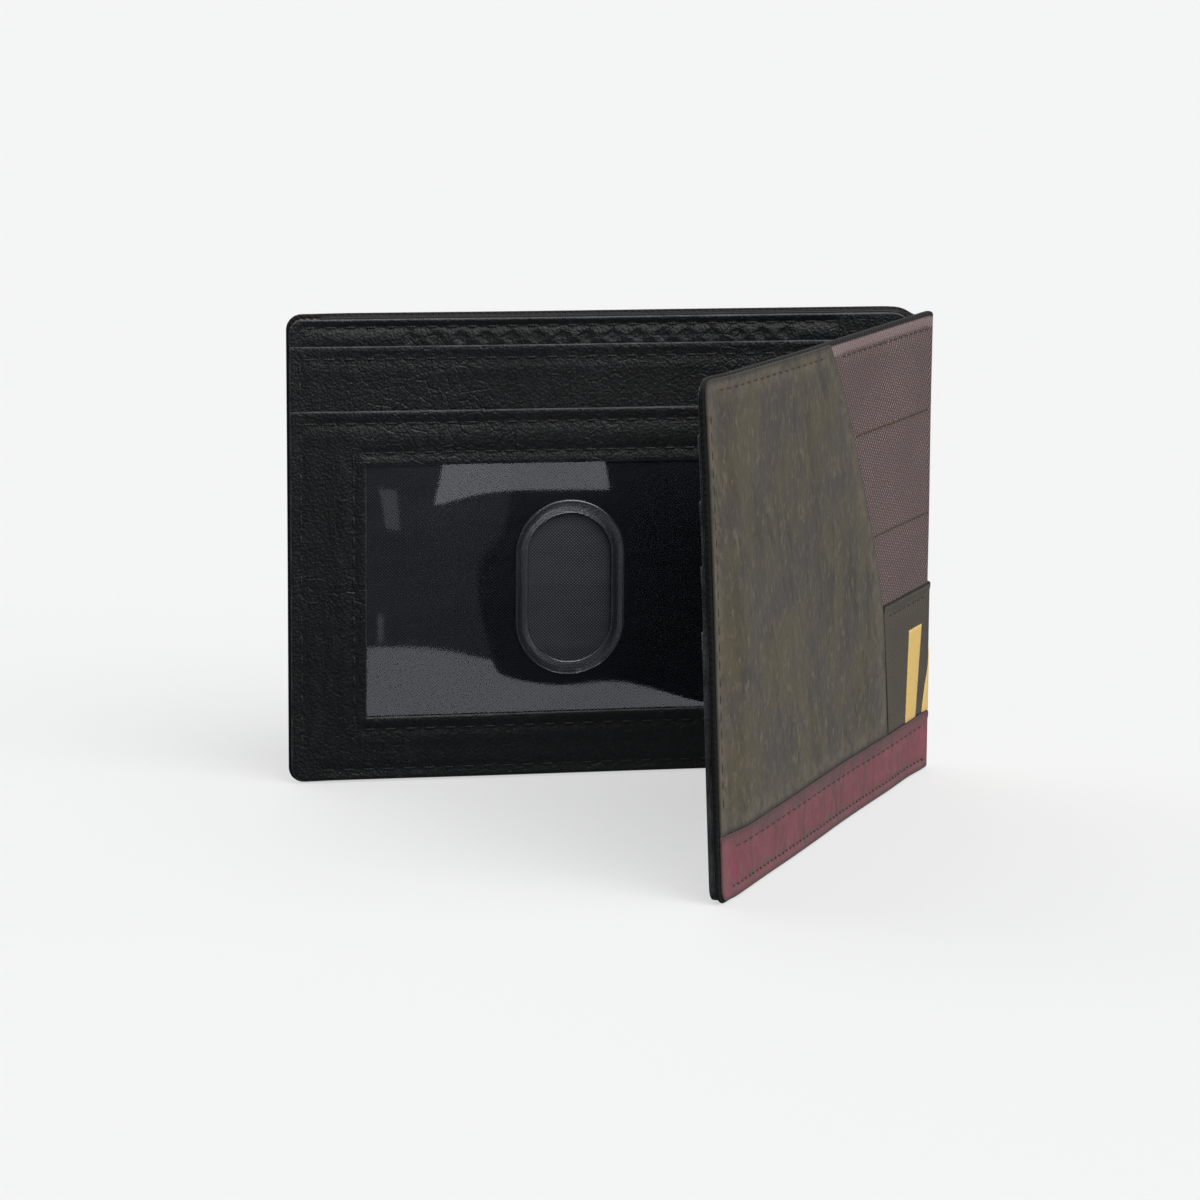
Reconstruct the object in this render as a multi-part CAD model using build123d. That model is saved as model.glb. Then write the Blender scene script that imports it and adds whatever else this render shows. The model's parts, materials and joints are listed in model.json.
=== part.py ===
from build123d import *
import math
import os

# A bifold wallet that stands on its bottom edges, part open. Millimetres, +Z up.
# Every piece is drawn on the wallet laid open flat, in these directions:
#   u  distance from the fold line of its panel (along X)
#   t  depth from the outer face of the cover towards the inside (along -Y)
#   z  height above the bottom edge
# The back panel is then mirrored, and each body is turned about the fold lines into its rest place.

# ---- overall sizes ----
height = 85.0
panel_length = 113.0
corner_radius = 2.8
rest_opening_deg = 58.0

# ---- layers, from the outer face inwards ----
cover_thickness = 1.0
turned_edge_thickness = 0.4
turned_edge_width = 6.0
lining_thickness = 0.2
divider_thickness = 0.6
slot_layer_thickness = 0.4
film_thickness = 0.2
id_gap = 0.2
frame_leather_thickness = 0.6
tier_count = 4
tier_thickness = 0.35

# ---- clearances ----
closed_gap = 0.7
fold_clearance = 0.15
layer_inset = 0.4
divider_drop = 1.0
patch_clearance = 0.1

# ---- pockets of the back panel, measured down from the top edge and in from the pocket's sides ----
hinge_lining_width = 10.7
slot_edge_drop = 5.8
id_pocket_drop = 17.3
pocket_lap = 4.5
pocket_hem_width = 4.0
window_side_margin = 14.0
window_top_margin = 9.9
window_bottom_margin = 12.0
film_margin = 2.6
thumb_slot_length = 27.3
thumb_slot_width = 15.1
thumb_rim_width = 2.4
thumb_rim_rise = 0.35

# ---- stepped card slots of the front panel ----
tier_first_drop = 8.0
tier_step = 10.5

# ---- outside patchwork ----
band_height = 11.0
band_thickness = 0.5
patch_thickness = 0.4
overlay_thickness = 0.4
patch_height = 35.0
foil_thickness = 0.1
overlay_top_from_fold = 57.0
overlay_bend_from_fold = 39.6
overlay_hem_from_fold = 28.2
overlay_foot_from_fold = 24.8
bar_top_height = 28.0
bar_near_top = 4.8
bar_far_top = 12.4
bar_near_foot = 7.9
bar_far_foot = 14.2
spine_bar_width = 3.2
spine_bar_height = 26.0
seam_heights = (67.2, 48.2)
seam_thickness = 0.15
seam_width = 0.8
seam_end_gap = 1.1

# ---- thread ----
stitch_length = 2.6
stitch_pitch = 3.65
stitch_width = 0.45
stitch_rise = 0.18
edge_stitch_inset = 1.9
hem_stitch_inset = 2.3

# ---- worked out ----
FOLDS = 3
INSIDE = 1
OUTSIDE = -1
divider_back = cover_thickness + turned_edge_thickness
divider_face = divider_back + divider_thickness
slot_face = divider_face + slot_layer_thickness
film_back = slot_face + id_gap
frame_back = film_back + film_thickness
frame_face = frame_back + frame_leather_thickness
tier_face = divider_face + tier_count * tier_thickness
closed_turn = 180.0 / FOLDS
rest_turn = (180.0 - rest_opening_deg) / FOLDS
mitre = math.tan(math.radians(closed_turn / 2))
spine_strip = (frame_face + tier_face + closed_gap) / (2 * math.sin(math.radians(closed_turn)))
inner_height = height - divider_drop
pocket_end = panel_length - layer_inset
slot_edge_height = height - slot_edge_drop
id_pocket_height = height - id_pocket_drop
window_start = hinge_lining_width + window_side_margin
window_end = panel_length - window_side_margin
window_bottom = window_bottom_margin
window_top = id_pocket_height - window_top_margin
window_mid_u = (window_start + window_end) / 2
window_mid_z = (window_bottom + window_top) / 2


def fold_end(depth):
    """Where a layer starts at the fold, so that it clears its neighbour when the wallet is shut."""
    return fold_clearance + max(depth, 0.0) * mitre


def upright(points, z0, z1):
    """A plan outline, given as (u, t) points, carried up from z0 to z1."""
    outline = Polyline(*[(u, -t) for u, t in points], close=True)
    return Pos(0, 0, z0) * extrude(make_face(outline), amount=z1 - z0)


def round_free_corners(solid, radius, which=(0, -1)):
    """Rounds the corners at the free edge: 0 is the bottom one and -1 the top one."""
    across = solid.edges().filter_by(Axis.Y).group_by(Axis.X)[-1].sort_by(Axis.Z)
    return fillet([across[i] for i in which], radius)


def folded_sheet(t0, t1, z0, z1, end):
    """A sheet that runs from the fold to its free end."""
    plan = [(fold_end(t0), t0), (end, t0), (end, t1), (fold_end(t1), t1)]
    return upright(plan, z0, z1)


def block(u0, u1, z0, z1, t0, t1):
    """A plain sheet between u0 and u1."""
    return upright([(u0, t0), (u1, t0), (u1, t1), (u0, t1)], z0, z1)


def spine_sheet(t0, t1, z0, z1):
    """A sheet on a spine strip, mitred at both ends."""
    a = fold_end(t0)
    b = fold_end(t1)
    plan = [(a, t0), (spine_strip - a, t0), (spine_strip - b, t1), (b, t1)]
    return upright(plan, z0, z1)


def face_cut(face, t0, t1):
    """A drawing on the (u, z) plane given the depths t0 to t1."""
    return extrude(Plane.XZ.offset(t0) * face, amount=t1 - t0)


def stitch(u, z, t0, side, upright_stitch):
    """One sewn stitch lying on the face at depth t0, standing out to the inside or the outside."""
    turn = 90 if upright_stitch else 0
    flat = Pos(u, z) * Rot(0, 0, turn) * SlotOverall(stitch_length, stitch_width)
    return face_cut(flat, t0, t0 + side * stitch_rise)


def stitches_along(start, end, t0, side=INSIDE):
    """A straight row of stitches between two (u, z) points."""
    length = math.dist(start, end)
    count = max(int((length - stitch_length) // stitch_pitch) + 1, 1)
    spare = (length - (count - 1) * stitch_pitch) / 2
    along = [(e - s) / length for s, e in zip(start, end)]
    upright_row = abs(along[1]) > abs(along[0])
    row = []
    for i in range(count):
        travel = spare + i * stitch_pitch
        u = start[0] + along[0] * travel
        z = start[1] + along[1] * travel
        row.append(stitch(u, z, t0, side, upright_row))
    return row


def group(rows):
    return Compound([solid for row in rows for shape in row for solid in shape.solids()])


# ---- pieces that both panels share ----
def cover():
    """The outer leather with its edge turned in along the free side and the bottom."""
    skin = folded_sheet(0, cover_thickness, 0, height, panel_length)
    skin = round_free_corners(skin, corner_radius)
    hem = block(turned_edge_width, panel_length, 0, height, cover_thickness, divider_back)
    hem = round_free_corners(hem, corner_radius)
    inside = panel_length - turned_edge_width
    hem -= block(0, inside, turned_edge_width, height, cover_thickness, divider_back)
    return skin + hem


def compartment_lining():
    end = panel_length - turned_edge_width - patch_clearance
    low = turned_edge_width + patch_clearance
    return folded_sheet(cover_thickness, cover_thickness + lining_thickness, low, height - layer_inset, end)


def divider():
    """The inner wall of the note compartment, a little lower than the cover."""
    wall = folded_sheet(divider_back, divider_face, layer_inset, inner_height, pocket_end)
    return round_free_corners(wall, corner_radius - layer_inset)


def band():
    """The band along the bottom of the outside."""
    strip = block(fold_clearance, panel_length - layer_inset, layer_inset, band_height, -band_thickness, 0)
    return round_free_corners(strip, corner_radius - layer_inset, which=(0,))


def overlay():
    """The distressed leather at the free end of the outside, with a slanted, bowed edge."""
    foot = band_height + patch_clearance
    bow_top = (overlay_top_from_fold, height - layer_inset)
    bow_mid_z = (height - layer_inset + patch_height) / 2
    bow = ThreePointArc(bow_top, (overlay_bend_from_fold, bow_mid_z), (overlay_hem_from_fold, patch_height))
    rest = Polyline(
        (overlay_hem_from_fold, patch_height),
        (overlay_foot_from_fold, foot),
        (pocket_end, foot),
        (pocket_end, height - layer_inset),
        bow_top,
    )
    sheet = face_cut(make_face([bow, rest]), -overlay_thickness, 0)
    return round_free_corners(sheet, corner_radius - layer_inset, which=(-1,))


def twill_patch():
    """The twill patch beside the fold, under the hem line and over the band."""
    foot = band_height + patch_clearance
    outline = Polyline(
        (fold_clearance, foot),
        (overlay_foot_from_fold - patch_clearance, foot),
        (overlay_hem_from_fold - patch_clearance, patch_height),
        (fold_clearance, patch_height),
        close=True,
    )
    return face_cut(make_face(outline), -patch_thickness, 0)


def outer_stitches():
    """The seam round the outside and the rows that hold the band and the patch."""
    free = panel_length - edge_stitch_inset - layer_inset
    low = edge_stitch_inset + layer_inset
    high = height - edge_stitch_inset - layer_inset
    row_gap = corner_radius + edge_stitch_inset
    hem = band_height - hem_stitch_inset
    twill_row = height - hem_stitch_inset - layer_inset
    start = fold_clearance + edge_stitch_inset
    patch_row = patch_height - hem_stitch_inset
    rows = [
        ((free - row_gap, low), (start, low), -band_thickness),
        ((free - row_gap, hem), (start, hem), -band_thickness),
        ((free, band_height + row_gap), (free, high - row_gap), -overlay_thickness),
        ((overlay_top_from_fold + row_gap, high), (free - row_gap, high), -overlay_thickness),
        ((start, twill_row), (overlay_bend_from_fold, twill_row), 0),
        ((start, patch_row), (overlay_foot_from_fold, patch_row), -patch_thickness),
    ]
    return group([stitches_along(begin, end, depth, OUTSIDE) for begin, end, depth in rows])


# ---- the back panel's pockets ----
def card_slot_strip():
    low = id_pocket_height - pocket_lap
    return block(hinge_lining_width, pocket_end, low, slot_edge_height, divider_face, slot_face)


def id_backing_fabric():
    high = id_pocket_height - pocket_lap
    return block(hinge_lining_width, pocket_end - corner_radius, corner_radius, high, divider_face, slot_face)


def id_window_film():
    """Clear film behind the window, with a raised rim round its thumb slot, inside the opening."""
    sheet = block(
        window_start - film_margin,
        window_end + film_margin,
        window_bottom - film_margin,
        window_top + film_margin,
        film_back,
        frame_back,
    )
    place = Pos(window_mid_u, window_mid_z) * Rot(0, 0, 90)
    slot = place * SlotOverall(thumb_slot_length, thumb_slot_width)
    rim_size = (thumb_slot_length + 2 * thumb_rim_width, thumb_slot_width + 2 * thumb_rim_width)
    rim = face_cut(place * SlotOverall(*rim_size), frame_back, frame_back + thumb_rim_rise)
    opening = block(
        window_start + patch_clearance,
        window_end - patch_clearance,
        window_bottom + patch_clearance,
        window_top - patch_clearance,
        frame_back,
        frame_face,
    )
    sheet += rim & opening
    return sheet - face_cut(slot, film_back, frame_back + thumb_rim_rise)


def id_pocket_frame():
    """Leather frame with the window cut out, turned in at the sides and the bottom."""
    low = layer_inset
    frame = block(hinge_lining_width, pocket_end, low, id_pocket_height, frame_back, frame_face)
    frame = round_free_corners(frame, corner_radius - layer_inset, which=(0,))
    hem = block(hinge_lining_width, pocket_end, low, id_pocket_height, slot_face, frame_back)
    hem = round_free_corners(hem, corner_radius - layer_inset, which=(0,))
    inside = block(
        hinge_lining_width + pocket_hem_width,
        pocket_end - pocket_hem_width,
        low + pocket_hem_width,
        id_pocket_height,
        slot_face,
        frame_back,
    )
    window = block(window_start, window_end, window_bottom, window_top, frame_back, frame_face)
    return frame + (hem - inside) - window


def window_stitches():
    u0 = window_start - hem_stitch_inset
    u1 = window_end + hem_stitch_inset
    z0 = window_bottom - hem_stitch_inset
    z1 = window_top + hem_stitch_inset
    corners = [(u0, z0), (u1, z0), (u1, z1), (u0, z1), (u0, z0)]
    return group([stitches_along(a, b, frame_face) for a, b in zip(corners, corners[1:])])


def pocket_edge_stitches():
    """The rows under the mouths of the note compartment, the card slot and the window pocket."""
    start = hinge_lining_width + edge_stitch_inset
    end = pocket_end - edge_stitch_inset
    rows = [
        (inner_height - edge_stitch_inset, divider_face),
        (slot_edge_height - hem_stitch_inset, slot_face),
        (id_pocket_height - hem_stitch_inset, frame_face),
    ]
    return group([stitches_along((start, z), (end, z), face) for z, face in rows])


def edge_stitches(face, high):
    """The seam that closes the pockets down the free side and along the bottom."""
    free = pocket_end - edge_stitch_inset
    low = layer_inset + edge_stitch_inset
    rows = [
        stitches_along((free, low + corner_radius), (free, high - 2 * hem_stitch_inset), face),
        stitches_along((hinge_lining_width + edge_stitch_inset, low), (free - corner_radius, low), face),
    ]
    return group(rows)


# ---- the front panel's pockets ----
def tier_top(index):
    return inner_height - tier_first_drop - index * tier_step


def card_tier(index):
    """One of the stepped card slots; each lies on the one before and ends lower."""
    t0 = divider_face + index * tier_thickness
    tier = block(hinge_lining_width, pocket_end, layer_inset, tier_top(index), t0, t0 + tier_thickness)
    return round_free_corners(tier, corner_radius - layer_inset, which=(0,))


def tier_stitches():
    rows = []
    start = hinge_lining_width + edge_stitch_inset
    end = pocket_end - edge_stitch_inset
    for index in range(tier_count):
        row_z = tier_top(index) - hem_stitch_inset
        face = divider_face + (index + 1) * tier_thickness
        rows.append(stitches_along((start, row_z), (end, row_z), face))
    return group(rows)


def gold_bar():
    """A slanted foil bar on the front twill patch."""
    foot = band_height + 2 * patch_clearance
    outline = Polyline(
        (bar_near_foot, foot),
        (bar_far_foot, foot),
        (bar_far_top, bar_top_height),
        (bar_near_top, bar_top_height),
        close=True,
    )
    return face_cut(make_face(outline), -patch_thickness - foil_thickness, -patch_thickness)


def spine_gold_bar():
    mid = spine_strip / 2
    foot = band_height + 2 * patch_clearance
    start = mid - spine_bar_width / 2
    end = mid + spine_bar_width / 2
    return block(start, end, foot, spine_bar_height, -patch_thickness - foil_thickness, -patch_thickness)


def overlay_edge_at(z):
    """About how far the overlay's bowed edge is from the fold at the height z."""
    share = (z - patch_height) / (height - layer_inset - patch_height)
    chord = overlay_hem_from_fold + share * (overlay_top_from_fold - overlay_hem_from_fold)
    deepest_bow = (overlay_hem_from_fold + overlay_top_from_fold) / 2 - overlay_bend_from_fold
    return chord - 4 * share * (1 - share) * deepest_bow


def seam_cords():
    """Two thin raised seams across the twill, from the fold to the leather's edge."""
    seams = []
    for z in seam_heights:
        end = overlay_edge_at(z) - seam_end_gap
        low = z - seam_width / 2
        seams.append([block(fold_clearance, end, low, low + seam_width, -seam_thickness, 0)])
    return group(seams)


# ---- the spine ----
def spine_pieces(name):
    """One rigid strip of the fold: cover, lining, divider, and the outside band and patch on it."""
    lining_face = cover_thickness + lining_thickness
    wall_face = lining_face + divider_thickness
    foot = band_height + patch_clearance
    return {
        f"{name}_cover": spine_sheet(0, cover_thickness, 0, height),
        f"{name}_lining": spine_sheet(cover_thickness, lining_face, layer_inset, height - layer_inset),
        f"{name}_divider": spine_sheet(lining_face, wall_face, layer_inset, inner_height),
        f"{name}_band": spine_sheet(-band_thickness, 0, layer_inset, band_height),
        f"{name}_twill_patch": spine_sheet(-patch_thickness, 0, foot, patch_height),
    }


def back_pieces():
    drawn = {
        "back_cover": cover(),
        "back_compartment_lining": compartment_lining(),
        "back_divider": divider(),
        "card_slot_strip": card_slot_strip(),
        "id_backing_fabric": id_backing_fabric(),
        "id_window_film": id_window_film(),
        "id_pocket_frame": id_pocket_frame(),
        "window_stitches": window_stitches(),
        "pocket_edge_stitches": pocket_edge_stitches(),
        "back_edge_stitches": edge_stitches(frame_face, id_pocket_height),
        "back_leather_overlay": overlay(),
        "back_twill_patch": twill_patch(),
        "back_band": band(),
        "back_outer_stitches": outer_stitches(),
    }
    return {name: mirror(shape, about=Plane.YZ) for name, shape in drawn.items()}


def front_pieces():
    pieces = {
        "front_cover": cover(),
        "front_compartment_lining": compartment_lining(),
        "front_divider": divider(),
    }
    for index in range(tier_count):
        pieces[f"card_tier_{index + 1}"] = card_tier(index)
    pieces["tier_stitches"] = tier_stitches()
    pieces["front_edge_stitches"] = edge_stitches(tier_face, tier_top(tier_count - 1))
    pieces["front_leather_overlay"] = overlay()
    pieces["front_twill_patch"] = twill_patch()
    pieces["front_gold_bar"] = gold_bar()
    pieces["front_seam_cords"] = seam_cords()
    pieces["front_band"] = band()
    pieces["front_outer_stitches"] = outer_stitches()
    return pieces


def fold_frames():
    """The place of each body in turn, from the back panel along the spine to the front panel."""
    frames = [Location((0, 0, 0))]
    for fold in range(FOLDS):
        step = Location((spine_strip if fold else 0, 0, 0))
        frames.append(frames[-1] * step * Rot(0, 0, -rest_turn))
    return frames


def all_bodies():
    rear = spine_pieces("spine_rear")
    fore = spine_pieces("spine_fore")
    fore["spine_gold_bar"] = spine_gold_bar()
    back = back_pieces()
    return {"back_panel": back, "spine_rear": rear, "spine_fore": fore, "front_panel": front_pieces()}


def standing_origin(bodies):
    """The middle of the footprint, on the plane that the wallet stands on."""
    pieces = [solid for body in bodies.values() for shape in body.values() for solid in shape.solids()]
    box = Compound(pieces).bounding_box()
    return Vector((box.min.X + box.max.X) / 2, (box.min.Y + box.max.Y) / 2, box.min.Z)


frames = fold_frames()
placed = {}
for frame, (body, pieces) in zip(frames, all_bodies().items()):
    placed[body] = {name: frame * shape for name, shape in pieces.items()}

origin = standing_origin(placed)
to_origin = Pos(-origin.X, -origin.Y, -origin.Z)
bodies = {}
for body, pieces in placed.items():
    bodies[body] = {name: to_origin * shape for name, shape in pieces.items()}
fold_lines = [(to_origin * frame).position for frame in frames[1:]]

os.makedirs("parts", exist_ok=True)
for body, pieces in bodies.items():
    for name, shape in pieces.items():
        export_step(shape, f"parts/{name}.step")
print("spine strip", round(spine_strip, 3), "rest turn", round(rest_turn, 3))
for name, line in zip(("rear", "middle", "front"), fold_lines):
    print("fold", name, [round(v, 4) for v in line])
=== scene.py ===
# %% [markdown]
# A bifold wallet that stands part open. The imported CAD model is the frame: it says where each
# piece lies and which body it moves with. Leather and cloth are all thin leaves that are cut
# flat, laid on each other and sewn, so this script does the same: it cuts every piece flat,
# gives it its thickness and its puckers, and only then folds it about the wallet's three folds.

# %% Load the frame
import json
import math

import bpy
import numpy as np
from mathutils import Matrix, Vector

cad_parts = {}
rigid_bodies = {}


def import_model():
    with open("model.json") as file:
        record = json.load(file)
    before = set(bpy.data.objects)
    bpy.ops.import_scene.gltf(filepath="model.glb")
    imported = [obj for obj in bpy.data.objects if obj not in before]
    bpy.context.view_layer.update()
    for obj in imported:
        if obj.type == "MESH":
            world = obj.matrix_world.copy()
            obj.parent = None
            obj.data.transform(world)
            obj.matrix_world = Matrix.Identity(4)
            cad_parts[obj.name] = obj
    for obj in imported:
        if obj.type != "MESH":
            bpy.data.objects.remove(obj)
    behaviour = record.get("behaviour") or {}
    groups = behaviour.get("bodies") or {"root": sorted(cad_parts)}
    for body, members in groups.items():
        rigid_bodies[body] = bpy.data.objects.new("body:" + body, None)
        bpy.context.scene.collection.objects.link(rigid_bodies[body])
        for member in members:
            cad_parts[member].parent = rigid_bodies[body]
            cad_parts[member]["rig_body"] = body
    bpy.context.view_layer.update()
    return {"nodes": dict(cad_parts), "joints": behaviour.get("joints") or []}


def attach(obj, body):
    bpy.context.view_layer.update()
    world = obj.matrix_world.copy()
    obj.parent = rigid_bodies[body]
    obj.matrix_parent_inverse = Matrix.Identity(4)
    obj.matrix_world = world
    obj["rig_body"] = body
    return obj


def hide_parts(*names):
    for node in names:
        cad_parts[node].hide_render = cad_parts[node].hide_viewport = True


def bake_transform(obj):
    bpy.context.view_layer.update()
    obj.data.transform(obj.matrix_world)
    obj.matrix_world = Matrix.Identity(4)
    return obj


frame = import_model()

# %% [markdown]
# Flat coordinates keep the tailoring simple, in millimetres. s runs along the open wallet from
# the back panel's free edge, over the folds, to the front panel's free edge. z is the height.
# t is the depth from the cover's outer face inwards. u is the distance from the nearer panel's
# fold line, because both panels are cut to the same patterns.

# %% Folds and spans, read from the frame
MM = 0.001
joints = {joint["name"]: joint for joint in frame["joints"]}
fold_lines = [np.array(joints[name]["pos_m"]) / MM for name in ("fold_rear", "fold_middle", "fold_front")]
strip = float(np.linalg.norm(fold_lines[1] - fold_lines[0]))
half_strip = strip / 2
rest_turn = math.radians(-joints["fold_rear"]["range_deg"][0])
front_angle = -3 * rest_turn
front_axis = np.array([math.cos(front_angle), math.sin(front_angle)])


def span(node):
    """How far a node reaches in u, z and t, as three (low, high) pairs."""
    points = np.array([v.co for v in frame["nodes"][node].data.vertices]) / MM
    if frame["nodes"][node]["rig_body"] == "back_panel":
        u = fold_lines[0][0] - points[:, 0]
        t = fold_lines[0][1] - points[:, 1]
    else:
        flat = points[:, :2] - fold_lines[2][:2]
        u = flat @ front_axis
        t = flat @ np.array([front_axis[1], -front_axis[0]])
    return [(float(values.min()), float(values.max())) for values in (u, points[:, 2], t)]


panel_length = span("back_cover")[0][1]
height = span("back_cover")[1][1]
print("panel", round(panel_length, 2), "by", round(height, 2), "strip", round(strip, 3))


def u_of(s):
    """Distance from the nearer panel's fold line; negative on the spine."""
    return np.maximum(-s, s - 2 * strip)


def s_of(u, panel):
    return -u if panel == "back" else 2 * strip + u


# %% [markdown]
# Folding. Sewing also squeezes the layers together along the free edges, and a bent fold pulls
# the cover's rim down a little: both are done here, once, so that all layers follow together.

# %% Fold flat points into place
SQUEEZE_FREE = 0.40
SQUEEZE_FOOT = 0.22
NEUTRAL_DEPTH = 1.9
SQUEEZE_START = 3.0
SQUEEZE_END = 12.0
FOLD_DIP = 1.7
FOLD_DIP_WIDTH = 3.6
TWIST = math.radians(1.9)
WAVE = 0.22
WAVE_START = 6
WAVE_FADE = 25


def smooth(x):
    x = np.clip(x, 0, 1)
    return x * x * (3 - 2 * x)


def squeezed(u, z, t):
    """Depth after the seams along the free edge and the foot pull the layers together."""
    free = 1 - smooth((panel_length - u - SQUEEZE_START) / (SQUEEZE_END - SQUEEZE_START))
    foot = 1 - smooth((z - SQUEEZE_START) / (SQUEEZE_END - SQUEEZE_START))
    share = np.maximum(SQUEEZE_FREE * free, SQUEEZE_FOOT * foot * smooth(u / SQUEEZE_END))
    return NEUTRAL_DEPTH + (t - NEUTRAL_DEPTH) * (1 - share)


def wave(s, z):
    """A slow unevenness, alike in all layers of a panel; the two panels nest when shut."""
    u = u_of(s)
    side = np.where(s < strip, WAVE, -WAVE) * smooth((u - WAVE_START) / WAVE_FADE)
    return side * (np.sin(u / 17.0 + 1.3) * np.sin(z / 23.0 + 0.4) + 0.5 * np.sin(u / 9.0 - z / 13.0))


def dipped(s, z):
    """Height after the bent fold has drawn the rims in."""
    near = np.exp(-(((s - strip) / FOLD_DIP_WIDTH) ** 2))
    top = smooth((z - height * 0.75) / (height * 0.25))
    foot = 1 - smooth(z / (height * 0.1))
    return z - FOLD_DIP * near * top + 0.35 * FOLD_DIP * near * foot


def turned(x, y, centre_x, angle):
    c, s = np.cos(angle), np.sin(angle)
    dx = x - centre_x
    return centre_x + c * dx - s * y, s * dx + c * y


def fold_up(s, z, t):
    """Flat points to their rest place in metres, as an n by 3 array."""
    s, z, t = (np.asarray(v, float) for v in np.broadcast_arrays(s, z, t))
    x = s.copy()
    y = -(squeezed(u_of(s), z, t) + wave(s, z))
    for fold in (2, 1, 0):
        w = smooth((s - fold * strip + half_strip) / strip)
        extra = TWIST * (z / height - 0.5) if fold == 2 else 0.0
        x, y = turned(x, y, fold * strip, -(rest_turn + extra) * w)
    return np.stack([x + fold_lines[0][0], y + fold_lines[0][1], dipped(s, z)], axis=-1) * MM


# %% [markdown]
# A leaf is a cut sheet. Its outline is a signed distance in millimetres, negative inside,
# because distances combine freely: a slot is a minus, a slanted cut is a maximum, and the
# distance also places the rounded rim and the wear along it. A grid of quads covers the
# outline, its border points are pulled onto the line, and both faces are joined by a round rim.

# %% Outlines as signed distances
SLOPE_REACH = 0.05


def rounded_box(u0, u1, z0, z1, corners=(0, 0)):
    """A rectangle whose free corners, bottom then top, have their own radii."""
    def distance(u, z):
        radius = np.where(z < (z0 + z1) / 2, corners[0], corners[1]) * (u > (u0 + u1) / 2)
        du = np.abs(u - (u0 + u1) / 2) - (u1 - u0) / 2 + radius
        dz = np.abs(z - (z0 + z1) / 2) - (z1 - z0) / 2 + radius
        outside = np.hypot(np.maximum(du, 0), np.maximum(dz, 0))
        return np.minimum(np.maximum(du, dz), 0) + outside - radius
    return distance


def oblong(u, z, centre, length, width):
    """Distance from an upright slot with round ends."""
    reach = (length - width) / 2
    rest = np.maximum(np.abs(z - centre[1]) - reach, 0)
    return np.hypot(u - centre[0], rest) - width / 2


def grid_lines(low, high, step, fine=()):
    """Places between low and high, a step apart, and closer within each (centre, reach, step)."""
    places = [low]
    while places[-1] < high:
        here = places[-1]
        steps = [spot[2] for spot in fine if abs(here - spot[0]) < spot[1]]
        places.append(here + min(steps + [step]))
    places = np.array(places)
    return low + (places - low) * (high - low) / (places[-1] - low)


# %% Cut a leaf
RIM_RINGS = 3
EDGE_REACH = 10.0


def cut_cells(distance, s_lines, z_lines, rim):
    """Grid points, the kept quads, and the border edges in order round the leaf."""
    n_z = len(z_lines)
    s, z = (v.ravel().copy() for v in np.meshgrid(s_lines, z_lines, indexing="ij"))
    mid_s = (s_lines[:-1] + s_lines[1:]) / 2
    mid_z = (z_lines[:-1] + z_lines[1:]) / 2
    inside = distance(*np.meshgrid(mid_s, mid_z, indexing="ij")) < -rim
    quads = []
    directed = {}
    for i, k in zip(*np.nonzero(inside)):
        a = i * n_z + k
        quad = (a, a + n_z, a + n_z + 1, a + 1)
        quads.append(quad)
        for here, there in zip(quad, quad[1:] + quad[:1]):
            directed[(here, there)] = True
    border = [(a, b) for a, b in directed if (b, a) not in directed]
    return s, z, quads, border


def slope(distance, s, z):
    """The way out of an outline, as the two parts of a unit direction."""
    ds = distance(s + SLOPE_REACH, z) - distance(s - SLOPE_REACH, z)
    dz = distance(s, z + SLOPE_REACH) - distance(s, z - SLOPE_REACH)
    size = np.maximum(np.hypot(ds, dz), 1e-9)
    return ds / size, dz / size


def snap(distance, s, z, rim, points, reach):
    """Moves border points onto the line a rim's width inside the outline."""
    for _ in range(3):
        gap = distance(s[points], z[points]) + rim
        near = np.abs(gap) < reach
        ds, dz = slope(distance, s[points], z[points])
        s[points] -= np.where(near, gap * ds, 0)
        z[points] -= np.where(near, gap * dz, 0)


def level(u, z):
    """No relief at all."""
    return np.zeros_like(u)


def on_panel(outline):
    """An outline given in u and z, as a distance in s and z."""
    return lambda s, z: outline(u_of(s), z)


def rim_rings(distance, s, z, high, low, rim):
    """The rings of a round rim from its high face to its low one, as rows of s, z and t."""
    ds, dz = slope(distance, s, z)
    middle = (high + low) / 2
    half = (high - low) / 2
    for ring in range(1, RIM_RINGS + 1):
        angle = math.pi * ring / (RIM_RINGS + 1)
        out = math.sin(angle)
        yield s + ds * rim * out, z + dz * rim * out, middle + half * math.cos(angle)


def leaf_faces(quads, used, walls, ring_points, ends):
    """Both sides and the round rim, and apart from them the caps that close the cuts at a fold."""
    place = {p: i for i, p in enumerate(used)}
    ring_place = {p: i for i, p in enumerate(ring_points)}
    n = len(used)

    def vertex(ring, point):
        if ring == 0:
            return place[point]
        if ring == RIM_RINGS + 1:
            return n + place[point]
        return 2 * n + (ring - 1) * len(ring_points) + ring_place[point]

    faces = [tuple(place[p] for p in quad) for quad in quads]
    faces += [tuple(n + place[p] for p in reversed(quad)) for quad in quads]
    caps = [(place[b], place[a], n + place[a], n + place[b]) for a, b in ends]
    end_points = {p for edge in ends for p in edge}
    across = range(RIM_RINGS + 2)
    for a, b in walls:
        for ring in across[:-1]:
            faces.append((vertex(ring, a), vertex(ring + 1, a), vertex(ring + 1, b), vertex(ring, b)))
        if a in end_points:
            caps.append(tuple(vertex(ring, a) for ring in reversed(across)))
        if b in end_points:
            caps.append(tuple(vertex(ring, b) for ring in across))
    return faces, caps


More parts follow.
